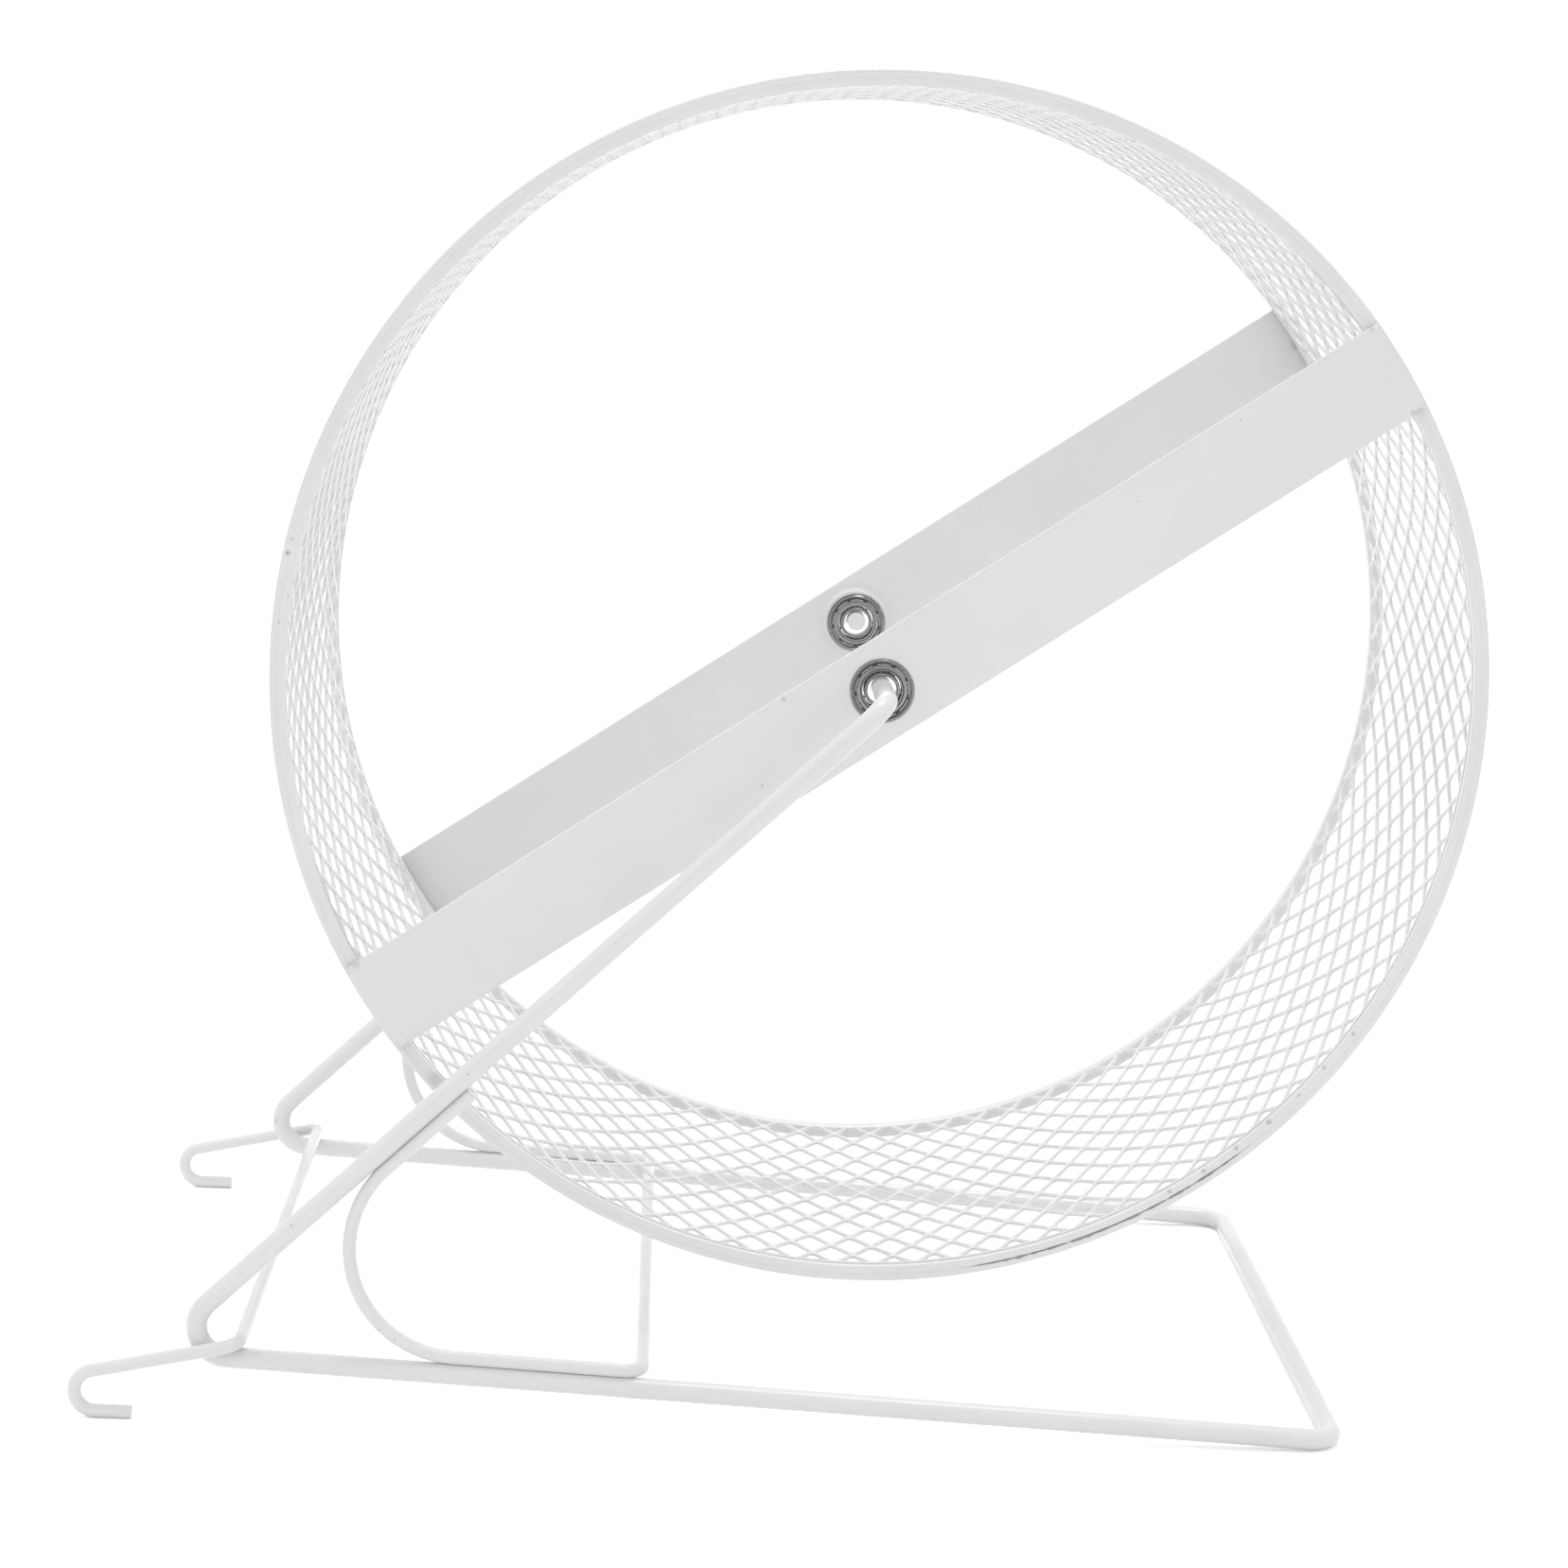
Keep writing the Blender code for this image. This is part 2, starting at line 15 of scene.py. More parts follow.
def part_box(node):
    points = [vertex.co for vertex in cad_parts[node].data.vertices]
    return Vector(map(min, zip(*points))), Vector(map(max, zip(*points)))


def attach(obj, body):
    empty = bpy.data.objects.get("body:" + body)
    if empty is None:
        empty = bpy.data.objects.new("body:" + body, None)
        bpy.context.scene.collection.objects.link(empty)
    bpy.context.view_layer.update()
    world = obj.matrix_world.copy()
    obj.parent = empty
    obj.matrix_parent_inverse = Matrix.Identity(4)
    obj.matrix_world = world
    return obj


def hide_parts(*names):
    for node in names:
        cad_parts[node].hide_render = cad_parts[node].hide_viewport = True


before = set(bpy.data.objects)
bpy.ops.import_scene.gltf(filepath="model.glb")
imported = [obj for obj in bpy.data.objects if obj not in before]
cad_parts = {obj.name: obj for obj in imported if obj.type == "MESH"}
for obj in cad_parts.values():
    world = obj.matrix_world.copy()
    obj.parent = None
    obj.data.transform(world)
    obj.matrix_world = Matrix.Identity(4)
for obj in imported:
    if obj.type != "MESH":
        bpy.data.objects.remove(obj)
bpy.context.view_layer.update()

MM = 0.001
FULL_TURN = math.tau
SIDES = {"front": -1, "rear": 1}
ROUND_STEPS = 4
SMOOTH_ANGLE = math.radians(50)
PLACE_DIGITS = 8
DEPTH_DIGITS = 7
RAY_DIGITS = 6
TINY = 1e-6

# Wheel, from the frame
RIM_LOW, RIM_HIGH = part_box("front_rim")
WHEEL_RADIUS = (RIM_HIGH.x - RIM_LOW.x) / 2
WHEEL_FACE = -RIM_LOW.y
RIM_THICKNESS = RIM_HIGH.y - RIM_LOW.y
AXLE = Vector(((RIM_LOW.x + RIM_HIGH.x) / 2, 0, (RIM_LOW.z + RIM_HIGH.z) / 2))
REAR_TAPER = 1.1 * MM

# Rims. The seam between bead and lip is open over one span, and its width and place wander there
RIM_HEIGHT = 3.2 * MM
RIM_BEAD_HEIGHT = 1.5 * MM
RIM_BEAD_SLOPE = 0.2 * MM
RIM_LIP_SLOPE = 0.15 * MM
RIM_LIP_RECESS = 0.08 * MM
RIM_GROOVE = 0.03 * MM
RIM_ROUND = 0.42 * MM
RIM_ROUND_STEPS = 6
LIP_ROUND = 0.18 * MM
RIM_SEGMENTS = 900
SEAM_SPAN = {"front": (math.radians(-77), math.radians(-51)), "rear": (0.0, 0.0)}
SEAM_FADE = math.radians(5)
SEAM_DEPTH = 1.1 * MM
SEAM_WIDTH = 0.6 * MM
SEAM_FLOOR_SHARE = 0.8
SEAM_WANDER = 0.12 * MM
SEAM_ROUGHNESS = ((90, 1), (260, 0.6))
SEAM_OPEN_SHARE = 0.75
SEAM_LEAST_SHARE = 0.12
SEAM_DEEPENING = 1.6

# Mesh of the drum
MESH_LOW, MESH_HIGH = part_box("running_mesh")
MESH_END = -MESH_LOW.y
MESH_OUTSIDE = (MESH_HIGH.x - MESH_LOW.x) / 2
MESH_BULGE = 0.7 * MM
MESH_THICKNESS = 0.92 * MM
MESH_STRAND = 0.92 * MM
MESH_THIN_SHARE = 0.1
MESH_EDGE_SHARE = 0.62
MESH_EDGE_DEPTH = 0.03 * MM
MESH_WAIST_SHARES = (0.3, 0.7)
MESH_CORNER_ROUND = 0.9 * MM
MESH_CORNER_SHARE = 0.3
MESH_CELLS_AROUND = 90
MESH_CELLS_ACROSS = 8
MESH_SMOOTH_ANGLE = math.radians(75)
NEAR_NODE_SHARE = 0.2
HEM_WIDTH = {"front": 1.5 * MM, "rear": 2.5 * MM}
HEM_THICKNESS = 0.8 * MM
HEM_EASE = 0.2 * MM

# Crossbars
BAR_LOW, BAR_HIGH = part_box("front_crossbar")
BAR_OUTER_FACE = -BAR_LOW.y
COLLAR_END = -BAR_HIGH.y
BAR_WIDTH = 20 * MM
BAR_THICKNESS = 1.5 * MM
BAR_END_INSET = 0.6 * MM
BAR_EDGE = 0.35 * MM
BAR_SUPPORT = 0.4 * MM
BAR_ANGLE = math.radians(37.1)
BAR_END_RAYS = 14
BAR_RAYS = 96
BORE_GAP = 0.3 * MM
PRESSED_GAP = 0.04 * MM
BORE_EDGE = 0.06 * MM
BORE_SUPPORT = 0.5 * MM
BORE_BACK_EDGE = 0.15 * MM
COLLAR_WALL = 0.8 * MM
COLLAR_FILLET = 1.0 * MM
COLLAR_SUPPORT = 0.4 * MM
COLLAR_EDGE = 0.2 * MM

# Bearings
RING_LOW, RING_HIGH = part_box("front_bearing_outer_ring")
BEARING_RADIUS = (RING_HIGH.x - RING_LOW.x) / 2
BEARING_FACE = (RING_HIGH.y - RING_LOW.y) / 2
BEARING_PLACE = -(RING_LOW.y + RING_HIGH.y) / 2
BEARING_BORE_RADIUS = 3 * MM
BEARING_SEGMENTS = 360
BEARING_SMOOTH_ANGLE = math.radians(35)
BALLS = 7
RACE_CHAMFER = 0.22 * MM
SEAT_RADIUS = 5.98 * MM
SEAT_EASE = 0.12 * MM
SEAT_FLOOR = 1.15 * MM
SHOULDER_RADIUS = 5.5 * MM
BORE_CHAMFER = 0.2 * MM
LAND_RADIUS = 3.62 * MM
LAND_EDGE = 0.1 * MM
PITCH_RADIUS = 4.75 * MM
TRACK_RADIUS = 1.1 * MM
TRACK_STEPS = 8
OUTER_TRACK_HALF = 0.26 * math.pi
INNER_TRACK_HALF = 0.14 * math.pi

# A shield's section: radius and depth below the bearing's face, in millimetres, and its share in each notch
COVER_THICKNESS = 0.2 * MM
COVER_STEPS = (
    (5.66, 1.10, 0), (5.64, 0.26, 1), (5.56, 0.14, 1), (5.42, 0.10, 1), (5.30, 0.14, 0.6), (5.22, 0.26, 0),
    (5.19, 1.10, 0), (4.90, 1.10, 0), (4.87, 0.26, 0), (4.78, 0.18, 0), (4.60, 0.14, 0), (4.46, 0.20, 0),
    (4.36, 0.50, 0), (4.26, 0.56, 0), (4.06, 0.56, 0), (3.98, 0.60, 0), (3.96, 1.10, 0),
)
NOTCHES = 9
NOTCH_PHASE = {"front": math.radians(28), "rear": math.radians(30)}
NOTCH_HALF = math.radians(3.0)
NOTCH_REACH_SHARE = 1.5
NOTCH_DEPTH = 0.6 * MM

# Stand, in its own frame
STAND_WIRE = 4.3 * MM
STAND_BEND = 6.4 * MM
ARM_SLOPE = math.radians(46.48)
TILT = math.radians(2.5515)
STUB_LIFT = 0.373 * MM
STUB_OVERRUN = 0.3 * MM
THIN_WIRE = 2.8 * MM
SEAT_GAP = 0.3 * MM
WELD_OVERLAP = 0.08 * MM
BRACE_ON_ARM = 84 * MM
BRACE_ON_RAIL = 99 * MM
BRACE_BEND = 22.5 * MM
BRACE_CORNER_BEND = 4 * MM
HOOK_INSET = 17.4 * MM
HOOK_SLOPE = math.radians(14.6)
HOOK_CORNER_BEND = 3.6 * MM
HOOK_LEG = 30 * MM
HOOK_BEND = 4.2 * MM
HOOK_TAIL = 7.5 * MM
WIRE_SIDES = 28
WIRE_END_ROUND = 0.35 * MM
BEND_STEP = math.radians(5)
LEAST_BEND_STEPS = 2
STEEP = 0.9

# Stand, from the frame
TIP = Matrix.Rotation(TILT, 4, "Y")
STAND_PLACE = Matrix.Translation(AXLE) @ TIP
STAND_LOW, STAND_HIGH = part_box("stand_frame")
ARM_PLANE = -STAND_LOW.y - STAND_WIRE / 2
CROSS_BAR = STAND_PLACE.inverted() @ Vector((STAND_HIGH.x - STAND_WIRE / 2, 0, STAND_WIRE / 2))
RAIL_REACH = CROSS_BAR.x
RAIL_DROP = -CROSS_BAR.z
WIRE_SEAT = (STAND_WIRE + THIN_WIRE) / 2 + SEAT_GAP
FOOT_REACH = -(RAIL_DROP + STUB_LIFT) / math.tan(ARM_SLOPE)
HOOK_REACH = FOOT_REACH + HOOK_INSET
HOOK_PLANE = ARM_PLANE + WIRE_SEAT
STUB_END = BEARING_PLACE - BEARING_FACE - STUB_OVERRUN

# Powder coat. A noise is its scale and detail, and its roughness where that isn't the usual one
COAT_DARK = (0.725, 0.725, 0.727)
COAT_LIGHT = (0.75, 0.75, 0.75)
# The colour of the specks of dirt, and of the marks, which are partly painted shade
SPECK_AND_SHADE_COLOUR = (0.30, 0.29, 0.28)
COAT_SPECULAR = 0.5
COAT_CLOUDS = (45, 3)
COAT_CLOUD_RANGE = (0.35, 0.65)
COAT_SPECKS = (700, 1, 0.4)
COAT_SPECK_RANGE = (0.81, 0.84)
COAT_SPECK_STRENGTH = 0.5
COAT_PATCHES = (160, 4)
COAT_PATCH_RANGE = (0.3, 0.7)
COAT_ROUGHNESS = (0.19, 0.27)
COAT_PEEL = (900, 2)
COAT_PEEL_HEIGHT = 0.02 * MM
COAT_SWELL = (110, 2)
COAT_SWELL_HEIGHT = 0.05 * MM
COAT_BUMP_STRENGTH = 0.25
USUAL_NOISE_ROUGHNESS = 0.5

# Dark marks on the coat: weld marks and dirt, and also painted shade at joints and where the net shades the
# bars. In millimetres and degrees: two or three numbers for the place, then size and strength
# On the front bar: small dark spots, and at its ends weld marks with painted shade at the joint with the rim
FRONT_BAR_MARKS = (
    (-42.8, -9.6, 0.7, 0.6), (-44.3, -9.7, 0.6, 0.5), (-17.9, 9.3, 0.6, 0.5), (122.5, 9.8, 1.0, 0.3),
    (121.3, -9.5, 1.0, 0.4), (122.5, -9.8, 1.0, 0.4), (-121.6, 9.8, 1.2, 0.3),
)
# Painted shade: the net's shadow on the rear bar's end, seen through the drum
REAR_BAR_PAINTED_SHADE = ((121.5, 9.6, 2.0, 0.3), (121.1, 0.2, 1.6, 0.35))
# On the front rim: dark specks at the left, weld spots where the strands meet it at the lower right, and a
# soft spot of painted shade at -136.2 degrees beside the arm's joint
RIM_MARKS = (
    (169.2, 123.8, 0.7, 0.8), (167.8, 123.8, 0.5, 0.4), (175.8, 123.4, 0.5, 0.4), (173.2, 122.2, 0.6, 0.35),
    (-136.2, 122.5, 2.6, 0.35), (-57.8, 122.3, 0.7, 0.5), (-53.9, 122.3, 0.7, 0.55), (-50.0, 122.2, 0.7, 0.5),
    (-45.9, 122.3, 0.8, 0.6), (-42.0, 122.4, 0.7, 0.4), (-38.3, 122.2, 0.7, 0.5), (-33.9, 122.3, 0.7, 0.5),
)
# On the stand's wires: weld marks at the joints, with painted shade where the hook wire meets the front rail
STAND_MARKS = (
    (-115.6, -88.3, -140.7, 1.6, 0.3), (-77.1, -88.5, -80.5, 0.5, 0.6), (-129.5, 84.5, -137.2, 1.0, 0.4),
)
MARK_EDGE = (1400, 3)
MARK_RAGGEDNESS = 1.2 * MM
MARK_CORE_SHARE = 0.3

# Steels of the bearings: the darker and the lighter colour, the roughness and the fineness of the turning
STEELS = {
    "bearing_ring_steel": ((0.19, 0.19, 0.192), (0.30, 0.30, 0.30), 0.24, 9000),
    "bearing_shield_steel": ((0.23, 0.23, 0.23), (0.37, 0.37, 0.37), 0.26, 5000),
    "bearing_cage_steel": ((0.42, 0.40, 0.36), (0.52, 0.50, 0.45), 0.36, 4000),
    "bearing_ball_steel": ((0.52, 0.52, 0.53), (0.60, 0.60, 0.61), 0.12, 2500),
}
TURNING_DETAIL = 3
TURNING_RANGE = (0.35, 0.65)
TURNING_HEIGHT = 0.02 * MM
TURNING_STRENGTH = 0.4
STEEL_CLOUDS = (700, 3)
STEEL_CLOUD_RANGE = (0.55, 0.75)
STEEL_CLOUD_STRENGTH = 0.45
STEEL_WEAR = (1500, 2)
STEEL_WEAR_RANGE = (0.3, 0.7)
STEEL_WEAR_SHARES = (0.8, 1.25)

# Floor, light and camera. The camera's place and turn are in the stand's own frame
WHITE = (1.0, 1.0, 1.0)
FLOOR_REACH = 6.0
FLOOR_LIT = (0.9, 0.9, 0.9)
FLOOR_GLOW = (0.25, 0.6)
FLOOR_GLOW_REACH = (0.4, 2.0)
SKY_LIGHT = 0.90
SKY_BEHIND = 0.25
LAMPS = {
    "left": (Vector((-1.96, -1.09, 1.5)), 0.7, 2.5),
    "top": (Vector((0.15, 0.1, 1.35)), 0.45, 4.9),
    "rear": (Vector((0, 0.7, 0.75)), 0.45, 0.8),
}
CAMERA_PLACE = Vector((-50.19 * MM, -859.48 * MM, 103.30 * MM))
CAMERA_YAW = math.radians(2.29)
CAMERA_PITCH = math.radians(8.84)
CAMERA_ROLL = math.radians(5.05)
CAMERA_SENSOR = 36.0
CAMERA_FOCAL_SHARE = 4170.26 / 1657
CAMERA_SIGHT = 50


# Shapes


def along(angle):
    """The direction in the XZ plane at this angle above +X."""
    return Vector((math.cos(angle), 0, math.sin(angle)))


def left_of(direction):
    """The direction a quarter turn on, in the XZ plane."""
    return Vector((-direction.z, 0, direction.x))


def arc(centre, radius, start, end, steps=ROUND_STEPS):
    """Points (u, v) on a circle about centre, from one angle to another."""
    points = []
    for step in range(steps + 1):
        angle = start + (end - start) * step / steps
        points.append((centre[0] + radius * math.cos(angle), centre[1] + radius * math.sin(angle)))
    return points


def bands(rings, size, closed=True):
    """The faces between rings of points, each of this size. Where closed, the last ring meets the first."""
    faces = []
    for ring in range(rings if closed else rings - 1):
        here = ring * size
        there = (ring + 1) % rings * size
        for corner in range(size):
            after = (corner + 1) % size
            faces.append((here + corner, here + after, there + after, there + corner))
    return faces


def turned(profile_at, segments):
    """Points and faces of a closed (radius, Y) profile, given at each angle, turned about the Y axis."""
    points = []
    for step in range(segments):
        angle = FULL_TURN * step / segments
        outward = along(angle)
        points += [outward * radius + Vector((0, y, 0)) for radius, y in profile_at(angle)]
    return points, bands(segments, len(profile_at(0)))


def piece(name, points, faces, slot_name, body, node, place, smooth_angle=SMOOTH_ANGLE):
    """An object of these points and faces that rides on a body and stands for this node."""
    mesh = bpy.data.meshes.new(name)
    mesh.from_pydata([tuple(point) for point in points], [], faces)
    shaping = bmesh.new()
    shaping.from_mesh(mesh)
    bmesh.ops.recalc_face_normals(shaping, faces=shaping.faces[:])
    shaping.to_mesh(mesh)
    shaping.free()
    mesh.shade_smooth()
    mesh.set_sharp_from_angle(angle=smooth_angle)
    mesh.materials.append(finishes[slot_name])
    obj = bpy.data.objects.new(name, mesh)
    bpy.context.scene.collection.objects.link(obj)
    mesh.transform(place)
    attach(obj, body)
    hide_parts(node)


# Materials


def nodes_of(name):
    """A new material, its node tree and its Principled shader."""
    made = bpy.data.materials.new(name)
    made.use_nodes = True
    return made, made.node_tree, made.node_tree.nodes["Principled BSDF"]


def object_place(tree):
    """The point being shaded, in the object's own metres."""
    return tree.nodes.new("ShaderNodeTexCoord").outputs["Object"]


def vector_math(tree, operation, *values):
    """A node of vector math. Each value is a socket or three numbers."""
    node = tree.nodes.new("ShaderNodeVectorMath")
    node.operation = operation
    for socket, value in zip(node.inputs, values):
        if isinstance(value, bpy.types.NodeSocket):
            tree.links.new(value, socket)
        else:
            socket.default_value = value
    return node


def scalar_math(tree, operation, first, second):
    """The result of this operation on two sockets."""
    node = tree.nodes.new("ShaderNodeMath")
    node.operation = operation
    tree.links.new(first, node.inputs[0])
    tree.links.new(second, node.inputs[1])
    return node.outputs["Value"]


def noise(tree, scale, detail, roughness=USUAL_NOISE_ROUGHNESS, output="Fac"):
    """A noise texture in the object's own metres."""
    texture = tree.nodes.new("ShaderNodeTexNoise")
    texture.inputs["Scale"].default_value = scale
    texture.inputs["Detail"].default_value = detail
    texture.inputs["Roughness"].default_value = roughness
    tree.links.new(object_place(tree), texture.inputs["Vector"])
    return texture.outputs[output]


def mapped(tree, value, low, high, to_low, to_high):
    """A value rescaled from one range to another, and clamped to it."""
    node = tree.nodes.new("ShaderNodeMapRange")
    node.inputs["From Min"].default_value = low
    node.inputs["From Max"].default_value = high
    node.inputs["To Min"].default_value = to_low
    node.inputs["To Max"].default_value = to_high
    tree.links.new(value, node.inputs["Value"])
    return node.outputs["Result"]


def mixed(tree, share, first, second):
    """One colour mixed into another. Each is a socket or an RGB triple."""
    node = tree.nodes.new("ShaderNodeMix")
    node.data_type = "RGBA"
    tree.links.new(share, node.inputs["Factor"])
    for socket, colour in ((node.inputs["A"], first), (node.inputs["B"], second)):
        if isinstance(colour, tuple):
            socket.default_value = (*colour, 1)
        else:
            tree.links.new(colour, socket)
    return node.outputs["Result"]


def bump(tree, height, distance, strength, under=None):
    """A bump of this height, in metres, over another one."""
    node = tree.nodes.new("ShaderNodeBump")
    node.inputs["Distance"].default_value = distance
    node.inputs["Strength"].default_value = strength
    tree.links.new(height, node.inputs["Height"])
    if under:
        tree.links.new(under, node.inputs["Normal"])
    return node.outputs["Normal"]


def bar_place(across, up, side, depth):
    """A place on a crossbar: so far along it from the axle, above its middle and below its outer face."""
    direction = along(BAR_ANGLE - TILT)
    outward = Vector((0, side * BAR_OUTER_FACE - depth, 0))
    return AXLE + direction * across * MM + left_of(direction) * up * MM + outward


def rim_place(degrees, radius):
    """A place on the face of the front rim."""
    return AXLE + along(math.radians(degrees)) * radius * MM - Vector((0, WHEEL_FACE, 0))


def mark_list():
    """Each dark mark on the coat, weld marks and dirt as well as painted shade: its place, its size and its
    strength.
    """
    marks = []
    for across, up, size, strength in FRONT_BAR_MARKS:
        marks.append((bar_place(across, up, SIDES["front"], 0), size * MM, strength))
    for across, up, size, strength in REAR_BAR_PAINTED_SHADE:
        marks.append((bar_place(across, up, SIDES["rear"], BAR_THICKNESS), size * MM, strength))
    for degrees, radius, size, strength in RIM_MARKS:
        marks.append((rim_place(degrees, radius), size * MM, strength))
    for x, y, z, size, strength in STAND_MARKS:
        marks.append((STAND_PLACE @ (Vector((x, y, z)) * MM), size * MM, strength))
    return marks


def stains_and_painted_shade(tree):
    """How strongly each point is darkened: ragged spots at the marks' places, which are partly painted shade.
    """
    ragged = noise(tree, *MARK_EDGE, output="Color")
    raggedness = Vector((MARK_RAGGEDNESS,) * 3)
    moved = vector_math(tree, "MULTIPLY_ADD", ragged, raggedness, object_place(tree)).outputs["Vector"]
    total = None
    for place, size, strength in mark_list():
        away = vector_math(tree, "DISTANCE", moved, place + raggedness / 2).outputs["Value"]
        share = mapped(tree, away, size * MARK_CORE_SHARE, size, strength, 0)
        total = scalar_math(tree, "MAXIMUM", total, share) if total else share
    return total


def powder_coat():
    """White powder coat: soft orange peel, faint clouds in its colour, specks of dirt, and the marks, which
    are weld marks and dirt and partly painted shade.
    """
    made, tree, shader = nodes_of("white_powder_coat_finish")
    clouds = mapped(tree, noise(tree, *COAT_CLOUDS), *COAT_CLOUD_RANGE, 0, 1)
    clean = mixed(tree, clouds, COAT_DARK, COAT_LIGHT)
    specks = mapped(tree, noise(tree, *COAT_SPECKS), *COAT_SPECK_RANGE, 0, COAT_SPECK_STRENGTH)
    specked = mixed(tree, specks, clean, SPECK_AND_SHADE_COLOUR)
    # The marks mix the coat towards the speck colour: weld marks and dirt, and painted shade at joints and
    # under the net
    tree.links.new(mixed(tree, stains_and_painted_shade(tree), specked, SPECK_AND_SHADE_COLOUR), shader.inputs["Base Color"])
    patches = mapped(tree, noise(tree, *COAT_PATCHES), *COAT_PATCH_RANGE, *COAT_ROUGHNESS)
    tree.links.new(patches, shader.inputs["Roughness"])
    peel = bump(tree, noise(tree, *COAT_PEEL), COAT_PEEL_HEIGHT, COAT_BUMP_STRENGTH)
    swell = bump(tree, noise(tree, *COAT_SWELL), COAT_SWELL_HEIGHT, COAT_BUMP_STRENGTH, peel)
    tree.links.new(swell, shader.inputs["Normal"])
    shader.inputs["Specular IOR Level"].default_value = COAT_SPECULAR
    return made


def turned_steel(name, dark, light, roughness, fineness):
    """Machined steel, with the fine rings that a lathe or a grinder leaves about the Y axis."""
    made, tree, shader = nodes_of(name)
    from_axle = vector_math(tree, "SUBTRACT", object_place(tree), AXLE).outputs["Vector"]
    flat = vector_math(tree, "MULTIPLY", from_axle, (1, 0, 1)).outputs["Vector"]
    rings = tree.nodes.new("ShaderNodeTexNoise")
    rings.noise_dimensions = "1D"
    rings.inputs["Scale"].default_value = fineness
    rings.inputs["Detail"].default_value = TURNING_DETAIL
    tree.links.new(vector_math(tree, "LENGTH", flat).outputs["Value"], rings.inputs["W"])
    turning = rings.outputs["Fac"]
    ringed = mixed(tree, mapped(tree, turning, *TURNING_RANGE, 0, 1), dark, light)
    clouds = mapped(tree, noise(tree, *STEEL_CLOUDS), *STEEL_CLOUD_RANGE, 0, STEEL_CLOUD_STRENGTH)
    tree.links.new(mixed(tree, clouds, ringed, dark), shader.inputs["Base Color"])
    worn = [roughness * share for share in STEEL_WEAR_SHARES]
    wear = mapped(tree, noise(tree, *STEEL_WEAR), *STEEL_WEAR_RANGE, *worn)
    tree.links.new(wear, shader.inputs["Roughness"])
    tree.links.new(bump(tree, turning, TURNING_HEIGHT, TURNING_STRENGTH), shader.inputs["Normal"])
    shader.inputs["Metallic"].default_value = 1
    return made


finishes = {"white_powder_coat": powder_coat()}
for steel, look in STEELS.items():
    finishes[steel] = turned_steel(f"{steel}_finish", *look)


# Wheel


def span_share(angle, span, fade):
    """1 inside a span of angles and 0 well outside it."""
    middle = (span[0] + span[1]) / 2
    off = abs((angle - middle + math.pi) % FULL_TURN - math.pi) - (span[1] - span[0]) / 2
    return min(1, max(0, 0.5 - off / fade)) if span[1] > span[0] else 0


def taper_at(y):
    """How much smaller the wheel's radius is at this place along its axle."""
    return REAR_TAPER * (1 + y / WHEEL_FACE) / 2


def rim(name, side):
    """A hoop with a flat face. Part of the seam between its outer bead and its lip is left open."""
    outer = WHEEL_RADIUS - taper_at(side * WHEEL_FACE)
    inner = outer - RIM_HEIGHT
    lip = WHEEL_FACE - RIM_LIP_RECESS
    back = WHEEL_FACE - RIM_THICKNESS

    def profile_at(angle):
        rough = sum(share * grain.noise(along(angle) * waves) for waves, share in SEAM_ROUGHNESS)
        opening = span_share(angle, SEAM_SPAN[name], SEAM_FADE)
        opening *= max(SEAM_LEAST_SHARE, SEAM_OPEN_SHARE + rough)
        depth = RIM_GROOVE + SEAM_DEPTH * min(1, opening * SEAM_DEEPENING)
        half = (RIM_GROOVE + SEAM_WIDTH * opening) / 2
        floor_half = half * SEAM_FLOOR_SHARE
        seam = outer - RIM_BEAD_HEIGHT + rough * opening * SEAM_WANDER
        profile = arc((inner + LIP_ROUND, back + LIP_ROUND), LIP_ROUND, 1.5 * math.pi, math.pi)
        profile += arc((inner + LIP_ROUND, lip - LIP_ROUND), LIP_ROUND, math.pi, 0.5 * math.pi)
        profile += [(seam - half - RIM_LIP_SLOPE, lip), (seam - half, lip - RIM_GROOVE / 2)]
        profile += [(seam - floor_half, lip - depth), (seam + floor_half, lip - depth)]
        profile += [(seam + half, lip), (seam + half + RIM_BEAD_SLOPE, WHEEL_FACE)]
        bead = (outer - RIM_ROUND, WHEEL_FACE - RIM_ROUND)
        profile += arc(bead, RIM_ROUND, 0.5 * math.pi, 0, RIM_ROUND_STEPS)
        profile += arc((outer - LIP_ROUND, back + LIP_ROUND), LIP_ROUND, 0, -0.5 * math.pi)
        return [(radius, side * y) for radius, y in profile]

    points, faces = turned(profile_at, RIM_SEGMENTS)
    place = Matrix.Translation(AXLE)
    piece(f"{name}_rim_hoop", points, faces, "white_powder_coat", "wheel", f"{name}_rim", place)


